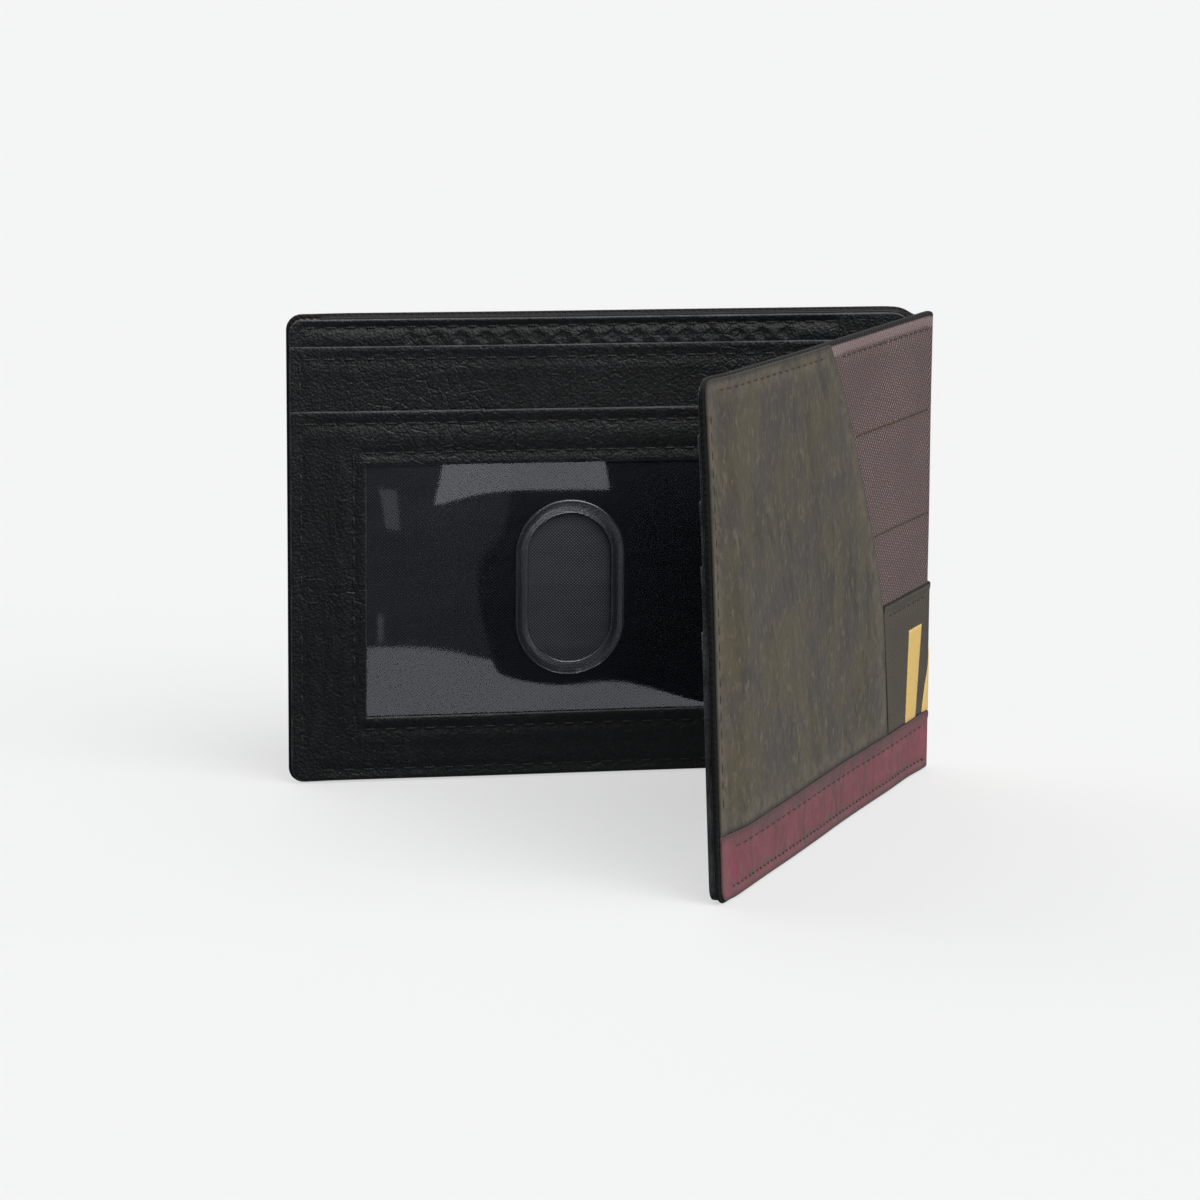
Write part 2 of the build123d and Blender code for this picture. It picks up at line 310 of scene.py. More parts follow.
def leaf(name, distance, s_lines, z_lines, depth, rim, inner=level, outer=level, lift=level):
    """A closed leaf. inner and outer raise its two faces from its middle; lift moves both inwards."""
    s, z, quads, border = cut_cells(distance, s_lines, z_lines, rim)
    border_points = np.array(sorted({p for edge in border for p in edge}))
    snap(distance, s, z, rim, border_points, 1.5 * max(np.diff(s_lines).max(), np.diff(z_lines).max()))
    gap = distance(s[border_points], z[border_points]) + rim
    on_rim = set(border_points[np.abs(gap) < 0.2 * rim + 0.02].tolist())
    walls = [edge for edge in border if on_rim.issuperset(edge)]
    ends = [edge for edge in border if not on_rim.issuperset(edge)]
    ring_points = sorted({p for edge in walls for p in edge})

    used = sorted({p for quad in quads for p in quad})
    face_s, face_z = s[used], z[used]
    u = u_of(face_s)
    low = depth[0] + lift(u, face_z) - outer(u, face_z)
    high = depth[1] + lift(u, face_z) + inner(u, face_z)
    picked = np.searchsorted(used, ring_points)
    rows = [(face_s, face_z, high), (face_s, face_z, low)]
    rows += rim_rings(distance, s[ring_points], z[ring_points], high[picked], low[picked], rim)
    flat = [np.concatenate(column) for column in zip(*rows)]
    faces, caps = leaf_faces(quads, used, walls, ring_points, ends)
    made = skin_mesh(name, *flat, faces + caps, distance)
    for cap in made.data.polygons[len(faces):]:
        cap.use_smooth = False
    return made


def put(name, data):
    """A new object in the scene."""
    made = bpy.data.objects.new(name, data)
    bpy.context.scene.collection.objects.link(made)
    return made


def skin_mesh(name, s, z, t, faces, distance=None):
    """A mesh from flat points, folded up, which keeps its flat place and its distance from the edge."""
    mesh = bpy.data.meshes.new(name)
    mesh.from_pydata(fold_up(s, z, t).tolist(), [], faces)
    flat = mesh.attributes.new("laid_flat", "FLOAT_VECTOR", "POINT")
    flat.data.foreach_set("vector", np.stack([s, z, t], axis=-1).astype(np.float32).ravel())
    edge = mesh.attributes.new("from_edge", "FLOAT", "POINT")
    inward = np.full(len(s), EDGE_REACH) if distance is None else np.clip(-distance(s, z), 0, EDGE_REACH)
    edge.data.foreach_set("value", inward.astype(np.float32))
    mesh.shade_smooth()
    return put(name, mesh)


# %% [markdown]
# Stitches. A row is a straight seam between two flat points, and each kind of stitch has its
# own length, pitch and thickness. A stitch lies on the leather and dives into a hole at each
# end, and the leather is pulled down along the seam and swells beside it. Thread and puckers
# come from the same row, so they always agree.

# %% Seams: thread and puckers
MACHINE = {"length": 2.55, "pitch": 3.65, "radius": 0.2}
KNOTS = {"length": 1.0, "pitch": 1.9, "radius": 0.17}
CORD = {"length": 1.75, "pitch": 1.35, "radius": 0.15}
FINE = {"length": 2.4, "pitch": 2.8, "radius": 0.09}
THREAD_RISE = 0.12
DIVE = 0.16
SEAM_DEPTH = 0.15
SEAM_FADE = 1.5
VALLEY_WIDTH = 0.9
HOLE_DEPTH = 0.2
HOLE_SPREAD = 0.16
SWELL_PLACE = 2.1
SWELL_WIDTH = 1.2


def seam_steps(row, stitch):
    """The seam's length, its unit direction, the middle of its first stitch, and how many it has."""
    (u0, z0), (u1, z1) = row
    length = math.dist(*row)
    count = max(int((length - stitch["length"]) // stitch["pitch"]) + 1, 1)
    first = (length - (count - 1) * stitch["pitch"]) / 2
    return length, ((u1 - u0) / length, (z1 - z0) / length), first, count


def puckers(rows, depth=SEAM_DEPTH, hole=HOLE_DEPTH, swell=0.1, stitch=MACHINE):
    """Relief of the leather along its seams, as a function of u and z."""
    seams = [(row[0], *seam_steps(row, stitch)) for row in rows]
    pitch = stitch["pitch"]

    def relief(u, z):
        total = np.zeros_like(u)
        for (u0, z0), length, (du, dz), first, _count in seams:
            along = (u - u0) * du + (z - z0) * dz
            across = (z - z0) * du - (u - u0) * dz
            present = smooth(along / SEAM_FADE) * smooth((length - along) / SEAM_FADE)
            phase = (along - first) / pitch
            from_middle = np.abs(phase - np.round(phase)) * pitch
            beat = np.cos(2 * math.pi * phase)
            valley = np.exp(-((across / VALLEY_WIDTH) ** 2)) * (0.75 + 0.25 * beat)
            pit = np.exp(-(((from_middle - stitch["length"] / 2) ** 2 + across**2) / HOLE_SPREAD))
            bulge = np.exp(-(((np.abs(across) - SWELL_PLACE) / SWELL_WIDTH) ** 2)) * (0.8 + 0.2 * beat)
            total += present * (swell * bulge - depth * valley - hole * pit)
        return total
    return relief


OUT = -1
IN = 1
RINGS = 7
SIDES = 6
RING_ANGLES = 2 * math.pi * np.arange(SIDES) / SIDES


def one_stitch(row, direction, middle, panel, face, side, stitch):
    """The rings of one stitch as flat points: it rises in the middle and dives at both ends."""
    (u0, z0), _end = row
    du, dz = direction
    rings = []
    for a in np.linspace(-1, 1, RINGS):
        along = middle + a * stitch["length"] / 2
        radius = stitch["radius"] * (0.55 + 0.45 * math.sqrt(1 - a**4))
        u = u0 + du * along
        z = z0 + dz * along
        depth = face(np.array([u]), np.array([z]))[0]
        lie = THREAD_RISE * (1 - a * a) - DIVE * a * a
        across = radius * np.cos(RING_ANGLES)
        out = depth + side * (lie + radius * np.sin(RING_ANGLES))
        rings.append((s_of(u - dz * across, panel), z + du * across, out))
    return rings


def stitch_faces(start):
    faces = [tuple(range(start, start + SIDES))[::-1]]
    for ring in range(RINGS - 1):
        for k in range(SIDES):
            a = start + ring * SIDES + k
            b = start + ring * SIDES + (k + 1) % SIDES
            faces.append((a, b, b + SIDES, a + SIDES))
    last = start + (RINGS - 1) * SIDES
    return faces + [tuple(range(last, last + SIDES))]


def thread(name, seams, panel, side, stitch):
    """All the stitches of (rows, face) pairs as one mesh; face gives the depth of the leather."""
    rings = []
    faces = []
    for rows, face in seams:
        for row in rows:
            _length, direction, first, count = seam_steps(row, stitch)
            for i in range(count):
                middle = first + i * stitch["pitch"]
                faces += stitch_faces(len(rings) * SIDES)
                rings += one_stitch(row, direction, middle, panel, face, side, stitch)
    s, z, t = (np.concatenate([ring[axis] for ring in rings]) for axis in range(3))
    return skin_mesh(name, s, z, t, faces)


# %% [markdown]
# Finishes. A shader is sums on fields: a small class wraps one output of a node, so that
# 1 - mask or height * 0.5 adds its Math node. All patterns are laid out on the flat cut, which
# each piece keeps as an attribute, so grain and weave follow the piece through every fold.

# %% Shader sums
class Field:
    """One output of a node in a finish."""

    def __init__(self, finish, socket):
        self.finish = finish
        self.socket = socket

    def sum_with(self, operation, *values):
        return self.finish.add("ShaderNodeMath", {"operation": operation}, dict(enumerate(values)))

    def __add__(self, other):
        return self.sum_with("ADD", self, other)

    def __sub__(self, other):
        return self.sum_with("SUBTRACT", self, other)

    def __rsub__(self, other):
        return self.sum_with("SUBTRACT", other, self)

    def __mul__(self, other):
        return self.sum_with("MULTIPLY", self, other)

    def __truediv__(self, other):
        return self.sum_with("DIVIDE", self, other)

    __radd__ = __add__
    __rmul__ = __mul__

    def wave(self):
        """A cosine of this many turns, from 0 to 1."""
        return self.sum_with("COSINE", self * (2 * math.pi)) * 0.5 + 0.5

    def between(self, low, high):
        """0 below low, 1 above high, even between."""
        made = (self - low) / (high - low)
        made.socket.node.use_clamp = True
        return made


FINISHES = {}


class Finish:
    """A material whose nodes are made by writing sums. FINISHES keeps it under its plain name."""

    def __init__(self, name):
        self.material = bpy.data.materials.new(name)
        FINISHES[name] = self.material
        self.material.use_nodes = True
        self.tree = self.material.node_tree
        self.surface = self.tree.nodes["Principled BSDF"]
        self.output = self.tree.nodes["Material Output"]
        self.flat = self.add("ShaderNodeAttribute", {"attribute_name": "laid_flat"}, {}, "Vector")
        self.edge = self.add("ShaderNodeAttribute", {"attribute_name": "from_edge"}, {}, "Fac")

    def add(self, kind, settings, sockets, output=0):
        """Any node: its type, its settings, and its sockets' values or links."""
        made = self.tree.nodes.new(kind)
        for key, value in settings.items():
            setattr(made, key, value)
        for key, value in sockets.items():
            self.feed(made.inputs[key], value)
        return Field(self, made.outputs[output])

    def feed(self, socket, value):
        if isinstance(value, Field):
            self.tree.links.new(value.socket, socket)
        else:
            socket.default_value = value

    def set(self, **sockets):
        """Values or fields for the surface's own sockets; words are joined by underscores."""
        for key, value in sockets.items():
            self.feed(self.surface.inputs[key.replace("_", " ")], value)

    def axes(self):
        """s, z and t as three fields, in millimetres."""
        split = self.add("ShaderNodeSeparateXYZ", {}, {0: self.flat})
        outputs = split.socket.node.outputs
        return [Field(self, outputs[i]) for i in range(3)]

    def stretched(self, x, y, vector=None):
        sockets = {0: vector or self.flat, 1: (x, y, 1.0)}
        return self.add("ShaderNodeVectorMath", {"operation": "MULTIPLY"}, sockets)

    def noise(self, scale, detail, vector=None, distortion=0.0):
        sockets = {"Scale": scale, "Detail": detail, "Distortion": distortion}
        return self.add("ShaderNodeTexNoise", {}, {"Vector": vector or self.flat, **sockets})

    def cells(self, scale, vector=None, feature="F1"):
        sockets = {"Vector": vector or self.flat, "Scale": scale}
        return self.add("ShaderNodeTexVoronoi", {"feature": feature}, sockets)

    def mix(self, factor, first, second):
        """Between two colours."""
        return self.add("ShaderNodeMix", {"data_type": "RGBA"}, {0: factor, 6: first, 7: second}, 2)

    def bumped(self, height, distance, strength):
        """A normal from a height of 0 to 1; distance is in millimetres."""
        sockets = {"Height": height, "Distance": distance * MM, "Strength": strength}
        return self.add("ShaderNodeBump", {}, sockets)

    def bump(self, height, distance, strength):
        self.set(Normal=self.bumped(height, distance, strength))


def paint(red, green, blue):
    """A colour from 0 to 255 as printed, made linear for the shader."""
    def linear(value):
        v = value / 255
        return v / 12.92 if v <= 0.04045 else ((v + 0.055) / 1.055) ** 2.4
    return (linear(red), linear(green), linear(blue), 1.0)


# %% [markdown]
# Black leather. Pebbled grain is small cells, the pores a fine noise, and creases are larger,
# bent cells that are only there in patches. Handling shows as a broad stretched noise that
# lightens and dulls the leather. Its edges are lighter: partly rubbed wear, partly a painted
# highlight where the rims catch the light.

# %% Black leather
def black_leather():
    f = Finish("black_leather")
    drift = f.noise(0.05, 2)
    grain = f.cells(1.9)
    pores = f.noise(5.5, 2)
    bend = {0: f.flat, 1: f.noise(0.22, 3, distortion=1.0)}
    bent = f.add("ShaderNodeVectorMath", {"operation": "ADD"}, bend)
    creases = f.cells(0.42, bent, "DISTANCE_TO_EDGE").between(0.0, 0.09)
    hand = f.noise(0.6, 4, f.stretched(1.0, 0.28), 1.2)
    creased = drift.between(0.42, 0.62)
    height = grain * 0.42 + pores * 0.3 + creases * creased * 0.3 + hand * 0.5
    # Lighter rim: partly rubbed wear, partly a painted highlight where the edges catch the light.
    rubbed = (1 - f.edge.between(0.05, 0.32)) * f.noise(0.25, 3).between(0.2, 0.8)
    shade = f.mix(drift.between(0.3, 0.7), paint(9, 10, 12), paint(16, 17, 19))
    shade = f.mix(hand.between(0.52, 0.75) * grain * 0.4, shade, paint(52, 54, 58))
    f.set(Base_Color=f.mix(rubbed * 0.8, shade, paint(96, 98, 102)))
    f.set(Roughness=0.40 + 0.22 * hand - 0.1 * drift, IOR=1.4)
    f.bump(height, 0.26, 0.95)


# %% [markdown]
# Cloths. A woven cloth is two sets of threads that pass over and under each other. Plain weave
# is a chequer of bumps; twill shifts each thread by one, which makes the diagonal rib. Both are
# made from cosines of the flat axes, so the pitch of the threads is a true size.

# %% Woven linings and the mesh behind the window
def woven(name, pitch, dark, light, roughness, diagonal):
    f = Finish(name)
    s, z, _t = f.axes()
    if diagonal:
        first, second = (s + z) / (pitch * math.sqrt(2)), (s - z) / (pitch * math.sqrt(2))
    else:
        first, second = s / pitch, z / pitch
    knots = first.wave() * second.wave()
    fuzz = f.noise(3.0, 3)
    slub = f.noise(0.25, 3, f.stretched(0.2, 1.0))
    height = knots * 0.8 + fuzz * 0.2
    f.set(Base_Color=f.mix((knots * 0.8 + slub * 0.35).between(0.1, 0.95), dark, light))
    f.set(Roughness=roughness + 0.2 * fuzz)
    f.bump(height, 0.12, 0.9)


# %% [markdown]
# The outside twill is printed and washed: ribs at forty-five degrees to the cut, pale flecks
# where a thread stands proud, a paler bloom along its hems, and soft fading. Its very edge is
# sealed with dark edge paint, which wanders a little, and the dark rim is also painted shade:
# the shadow line along a raised hem and the darkening of a rounded edge.

# %% Twill
RIB_PITCH = 1.25
FLECK_PITCH = 0.85
# Edge paint; the same dark also serves as painted shadow along the edges.
EDGE_PAINT_AND_SHADE = paint(15, 13, 12)


def twill(name, dark, light, fleck, painted, bloom):
    """painted is how far the dark rim of edge paint and painted shade reaches in, and bloom how strong the
    pale hems are.
    """
    f = Finish(name)
    s, z, _t = f.axes()
    wander = f.noise(0.35, 3) * 0.5
    rib = ((s + z) / RIB_PITCH + wander).wave()
    along = ((s - z) / FLECK_PITCH + f.noise(0.8, 2) * 1.2).wave()
    fuzz = f.noise(2.4, 4)
    proud = (rib * along * (fuzz + 0.35)).between(0.3, 0.7)
    fade = f.noise(0.045, 4, distortion=0.6).between(0.35, 0.7)
    cloth = f.mix((rib * 0.65 + fuzz * 0.4).between(0.1, 0.95), dark, light)
    worn = f.mix(proud * (0.45 + 0.4 * fade), cloth, fleck)
    hem = 1 - f.edge.between(2.4, 3.0)
    worn = f.mix(hem * fuzz * bloom, worn, fleck)
    # The dark rim is edge paint and painted shade: a shadow line along the edge.
    inked_and_shaded = 1 - (f.edge + fuzz * 0.3).between(painted, painted + 0.35)
    f.set(Base_Color=f.mix(inked_and_shaded, worn, EDGE_PAINT_AND_SHADE))
    f.set(Roughness=0.84 + 0.12 * fuzz, IOR=1.35, Sheen_Weight=0.06, Sheen_Roughness=0.5)
    f.bump(rib * 0.6 + along * rib * 0.25 + fuzz * 0.3, 0.16, 0.9)


# %% [markdown]
# The distressed leather is pigment over a fibrous base: clouds of two tones, soft dark drag
# marks that lean a little, pale fibres and fine dark scuffs. The burgundy band is made the same
# way, with a greyed tone where the red has rubbed off along its edges. Cut edges are dark, and
# the dark rim is also painted shade: the shadow line along the band's top edge and the darker
# rounded rim of the overlay.

# %% Distressed leathers
DRAG_LEAN = 0.3


def distressed(name, base, cloud, pale, dark, rubbed, rub_reach):
    """Five tones; the last of them shows up to rub_reach millimetres in from the edge."""
    f = Finish(name)
    lean = {"Vector": f.flat, "Angle": DRAG_LEAN}
    leaning = f.add("ShaderNodeVectorRotate", {"rotation_type": "Z_AXIS"}, lean)
    clouds = f.noise(0.075, 4, distortion=0.8)
    streaks = f.noise(0.22, 4, f.stretched(1.0, 0.25, leaning), 1.0)
    fine = f.noise(1.5, 5)
    fibres = f.noise(1.3, 5, f.stretched(1.0, 0.4), 0.6)
    nap = f.noise(0.45, 5, distortion=0.5)
    tone = f.mix(clouds.between(0.4, 0.6), base, cloud)
    tone = f.mix(streaks.between(0.52, 0.68) * 0.5, tone, dark)
    tone = f.mix(fibres.between(0.5, 0.72) * nap.between(0.35, 0.65) * 0.75, tone, pale)
    tone = f.mix(fine.between(0.55, 0.75) * 0.4, tone, dark)
    worn = f.edge.between(rub_reach, rub_reach * 0.5) * nap.between(0.35, 0.65)
    tone = f.mix(worn * 0.6, tone, rubbed)
    # Dark rim: the cut edge's colour, and painted shadow along the edge.
    inked_and_shaded = 1 - (f.edge + fine * 0.5).between(0.45, 1.3)
    f.set(Base_Color=f.mix(inked_and_shaded * 0.85, tone, dark))
    f.set(Roughness=0.74 + 0.2 * nap, IOR=1.4, Sheen_Weight=0.1, Sheen_Roughness=0.6)
    f.bump(fine * 0.35 + fibres * 0.4 + streaks * 1.1 + nap * 0.35, 0.25, 0.85)


# %% [markdown]
# Foil is pressed gold that has taken the weave under it and lost a few specks. Thread is
# twisted plies. Clear vinyl is a mix of what lies behind and a sharp reflection, and Fresnel
# sets the share, so it is nearly invisible until it catches a light. Where it is welded it is
# rougher, and a little haze is added to the share.

# %% Foil, thread and clear vinyl
def gold_foil():
    f = Finish("gold_foil")
    s, z, _t = f.axes()
    weave = (s / 0.7).wave() * (z / 0.7).wave()
    specks = f.noise(1.7, 4).between(0.66, 0.72)
    tone = f.mix(f.noise(0.3, 3), paint(243, 200, 118), paint(250, 217, 136))
    f.set(Base_Color=f.mix(specks * 0.8, tone, paint(120, 104, 74)))
    f.set(Roughness=0.5 + 0.3 * specks, Metallic=0.12)
    f.bump(weave * 0.6 + specks, 0.04, 0.6)


def twisted(name, dark, light):
    f = Finish(name)
    s, z, t = f.axes()
    plies = ((s + z + t) / 0.55).wave()
    f.set(Base_Color=f.mix(plies, dark, light))
    f.set(Roughness=0.55 + 0.2 * f.noise(2.0, 2))
    f.bump(plies, 0.08, 0.8)


def clear_vinyl(name, gloss_rough, haze):
    f = Finish(name)
    ripple = f.noise(0.05, 1)
    normal = f.bumped(ripple, 0.1, 0.2)
    clear = f.add("ShaderNodeBsdfTransparent", {}, {"Color": (0.93, 0.94, 0.95, 1)})
    f.set(Base_Color=f.mix(ripple, paint(200, 205, 210), paint(225, 228, 232)))
    f.set(Roughness=gloss_rough, Metallic=1.0, Normal=normal)
    share = f.add("ShaderNodeFresnel", {}, {"IOR": 1.5, "Normal": normal})
    mixed = f.add("ShaderNodeMixShader", {}, {0: share + haze, 1: clear, 2: Field(f, f.surface.outputs[0])})
    f.tree.links.new(mixed.socket, f.output.inputs["Surface"])


black_leather()
woven("black_lining", 0.45, paint(10, 10, 12), paint(30, 30, 33), 0.55, False)
woven("black_mesh", 0.42, paint(5, 6, 8), paint(96, 102, 112), 0.5, True)
clear_vinyl("clear_vinyl", 0.04, 0.0)
clear_vinyl("welded_vinyl", 0.3, 0.1)
twisted("black_thread", paint(8, 8, 9), paint(26, 26, 29))
twisted("tan_thread", paint(74, 58, 42), paint(92, 76, 56))
twisted("worn_thread", paint(58, 52, 44), paint(76, 68, 56))
twisted("brown_thread", paint(34, 30, 28), paint(72, 58, 56))
twill("mauve_twill", paint(64, 50, 49), paint(107, 87, 85), paint(178, 156, 153), 0.9, 0.8)
twill("olive_twill", paint(62, 55, 47), paint(85, 78, 68), paint(101, 93, 81), 0.25, 0.2)
distressed(
    "olive_leather", paint(68, 60, 54), paint(78, 70, 50), paint(118, 107, 90), paint(34, 30, 25),
    paint(102, 92, 76), 5.0
)
distressed(
    "burgundy_leather", paint(136, 63, 76), paint(120, 57, 67), paint(134, 92, 92), paint(74, 48, 50),
    paint(88, 80, 74), 3.6
)
gold_foil()
print("finishes", sorted(FINISHES))


def settle(piece, slot, bodies, nodes=(), crossing=None, finish=None):
    """Gives a piece its finish and the body that it follows; a piece that crosses a fold is only baked in
    place and follows no body.
    """
    piece.data.materials.append(FINISHES[finish or slot])
    if nodes:
        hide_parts(*nodes)
    if crossing is None:
        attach(piece, bodies)
    else:
        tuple(crossing[0])
        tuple(crossing[1])
        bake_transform(piece)
    print(piece.name, len(piece.data.polygons), "faces")
    return piece


# %% [markdown]
# Skins that cross the fold: the cover, the compartment's linings, the divider, the band and the
# twill patch. The fold has three hinges and a piece can bend across only one, so each skin is
# cut mid-strip into a rear, a spine and a front part. The cuts lie where the smooth step is
# level, so the parts meet without a kink in the rest pose. The parts are baked in place and
# follow no body.

# %% Skins across the fold
FOLD_REACH = 2.6
FOLD_STEP = 0.4
PAST_FOLD = -20
SKIN_PARTS = (
    ("rear", ("back_panel", "spine_rear")),
    ("spine", ("spine_rear", "spine_fore")),
    ("front", ("spine_fore", "front_panel")),
)


def fold_crossing(index):
    """Start and end of the smooth step over one fold, on the cover's outer face."""
    places = fold_up([index * strip - half_strip, index * strip + half_strip], [0, 0], [0, 0])
    return [tuple(places[0]), tuple(places[1])]


def skin_lines(part, reach, step):
    """Grid places of one part of a skin that reaches that far from both fold lines."""
    fine = [(strip, strip + FOLD_REACH, FOLD_STEP)]
    if part == "spine":
        return grid_lines(half_strip, 3 * half_strip, step, fine)
    rear = grid_lines(-reach, half_strip, step, fine)
    return rear if part == "rear" else 2 * strip - rear[::-1]


def skin_nodes(kind, back="back_{}", front="front_{}"):
    """The CAD nodes that each part of a skin stands for."""
    return {
        "rear": [back.format(kind)],
        "spine": [f"spine_rear_{kind}", f"spine_fore_{kind}"],
        "front": [front.format(kind)],
    }


def skin(kind, slot, outline, reach, rise, depth, rim, steps, fine_z=(), nodes=None, **relief):
    """One skin in three parts; rise is its lowest and highest z, steps the grid's along s and z."""
    parts = {}
    nodes = nodes or skin_nodes(kind)
    z_lines = grid_lines(rise[0] + rim, rise[1] - rim, steps[1], fine_z)
    for index, (part, bodies) in enumerate(SKIN_PARTS):
        s_lines = skin_lines(part, reach - rim, steps[0])
        made = leaf(f"{kind}_{part}_skin", on_panel(outline), s_lines, z_lines, depth, rim, **relief)
        parts[part] = settle(made, slot, bodies, nodes[part], fold_crossing(index))
    return parts


def cloth(parts, reach, tall, under):
    """Works out the sizes of a cloth skin's two flat panels, the fore one with the narrow spine added, and
    uses none of them.
    """
    width = (reach + half_strip) * MM
    tall * MM
    width + strip * MM
    tall * MM


# %% Measures shared by the patterns
CORNER = 2.8
LAYER_CORNER = 2.4
layer_end = span("id_pocket_frame")[0][1]
layer_inset = panel_length - layer_end
band_top = span("front_band")[1][1]
patch_top = span("front_twill_patch")[1][1]
divider_top = span("back_divider")[1][1]
SEAM_INSET = 2.3
HEM_SEAM = 2.3
POCKET_SEAM = 1.9
TWILL_SEAM = 3.2
TURNED_EDGE = 6.0
BAND_GAP = 0.1

# %% [markdown]
# The outside seams. Each row lies on one layer: the band, the leather overlay, the patch or the
# bare twill. The overlay's slanted cut is a parabola, because it leans more the higher it gets.

# %% Outside seams and the overlay's slanted cut
free_seam = panel_length - SEAM_INSET
top_seam = height - SEAM_INSET
band_foot_row, band_hem_row = (
    [((free_seam - CORNER, z), (2.0, z))] for z in (SEAM_INSET, band_top - HEM_SEAM)
)
overlay_rows = [
    ((free_seam, band_top + 4), (free_seam, top_seam - CORNER)),
    ((60.0, top_seam), (free_seam - CORNER, top_seam)),
]
twill_rows = [((2.0, height - TWILL_SEAM), (50.0, height - TWILL_SEAM))]
patch_rows = [((2.0, patch_top - HEM_SEAM), (25.0, patch_top - HEM_SEAM))]

SLANT_FOOT = 24.8
SLANT_HEM = 28.2
SLANT_LEAN = 0.356
SLANT_BOW = 0.00444


def slant(z):
    """Distance from the fold of the overlay's cut edge at the height z."""
    above = SLANT_HEM + SLANT_LEAN * (z - patch_top) + SLANT_BOW * (z - patch_top) ** 2
    below = SLANT_FOOT + (SLANT_HEM - SLANT_FOOT) * (z - band_top) / (patch_top - band_top)
    return np.where(z > patch_top, above, below)


def overlay_outline(u, z):
    low = band_top + BAND_GAP
    sheet = rounded_box(0, layer_end, low, height - layer_inset, (0, LAYER_CORNER))(u, z)
    return np.maximum(sheet, (slant(z) - u) * 0.87)


def patch_outline(u, z):
    sheet = rounded_box(PAST_FOLD, 60, band_top + BAND_GAP, patch_top)(u, z)
    return np.maximum(sheet, (u - slant(z) + 0.1) * 0.97)


def hem_rise(top, width, rise):
    """A turned hem along a top edge: twice the leather, fading over half a millimetre."""
    return lambda u, z: rise * smooth((z - top + width) / 0.6)


def added(*reliefs):
    return lambda u, z: sum(relief(u, z) for relief in reliefs)


def slump(amount, reach_u, reach_z, shift=0.0):
    """Soft, uneven swelling of a leaf."""
    return lambda u, z: amount * np.sin(u / reach_u + shift) * np.sin(z / reach_z + 2 * shift)


# %% Cover and lining
cover_depth = (0.0, span("back_compartment_lining")[2][0])
turned_thickness = span("back_cover")[2][1] - cover_depth[1]
print("cover depth", cover_depth, "turned edge", round(turned_thickness, 2))


def turned_edge(u, z):
    """The cover's leather turned in along the free side and the foot."""
    from_edge = np.minimum(panel_length - u, z)
    return turned_thickness * smooth((TURNED_EDGE - from_edge) / 0.5)


cover_face = added(puckers(twill_rows, stitch=FINE), slump(0.06, 5.0, 7.0, 0.6))
cover = skin(
    "cover", "mauve_twill",
    rounded_box(PAST_FOLD, panel_length, 0, height, (CORNER, CORNER)),
    panel_length, (0, height), cover_depth, 0.45, (0.62, 1.1),
    [(height - 3, 3.4, 0.42), (1.5, 1.6, 0.5)], inner=turned_edge, outer=cover_face,
)
cloth(cover, panel_length, height, "lining")

lining_end = span("back_compartment_lining")[0][1]
lining_low, lining_high = span("back_compartment_lining")[1]
lining = skin(
    "lining", "black_lining",
    rounded_box(PAST_FOLD, lining_end, lining_low, lining_high),
    lining_end, (lining_low, lining_high), span("back_compartment_lining")[2], 0.08, (2.0, 2.5),
    nodes=skin_nodes("lining", "back_compartment_{}", "front_compartment_{}"),
)
cloth(lining, lining_end, lining_high - lining_low, "cover")

# %% [markdown]
# The divider is the wall between the note compartment and the pockets, and its top strip is
# pressed with a running row of plain lozenges between the card slot's mouth and the top seam,
# a generic tooled border.

# %% Divider
TOP_SEAM = 1.5
LOZENGE_PITCH = 4.6
LOZENGE_START = 22.0
LOZENGE_END = 92.0
LOZENGE_DEPTH = 0.32
LOZENGE_LENGTH = 1.7
LOZENGE_HEIGHT = 1.25
lozenge_z = (span("card_slot_strip")[1][1] + divider_top - POCKET_SEAM) / 2 - 0.1


def tooled(u, z):
    """Pressed lozenges along the top strip."""
    phase = (u - LOZENGE_START) / LOZENGE_PITCH
    du = np.abs(phase - np.round(phase)) * LOZENGE_PITCH
    from_middle = du / LOZENGE_LENGTH + np.abs(z - lozenge_z) / LOZENGE_HEIGHT
    pressed = 1 - smooth((from_middle - 0.75) / 0.35)
    present = smooth((u - LOZENGE_START) / 1.0 + 1.5) * smooth((LOZENGE_END - u) / 1.0)
    return -LOZENGE_DEPTH * pressed * present


divider_depth = span("back_divider")[2]
top_row = [((12.0, divider_top - TOP_SEAM), (layer_end - POCKET_SEAM, divider_top - TOP_SEAM))]
divider_face = added(puckers(top_row, 0.26, 0.3, 0.22), slump(0.05, 4.0, 6.0, 0.2), tooled)
skin(
    "divider", "black_leather",
    rounded_box(PAST_FOLD, layer_end, layer_inset, divider_top, (LAYER_CORNER, LAYER_CORNER)),
    layer_end, (layer_inset, divider_top), divider_depth, 0.25, (0.5, 1.5),
    [(divider_top - 3, 3.6, 0.3)], inner=divider_face,
)

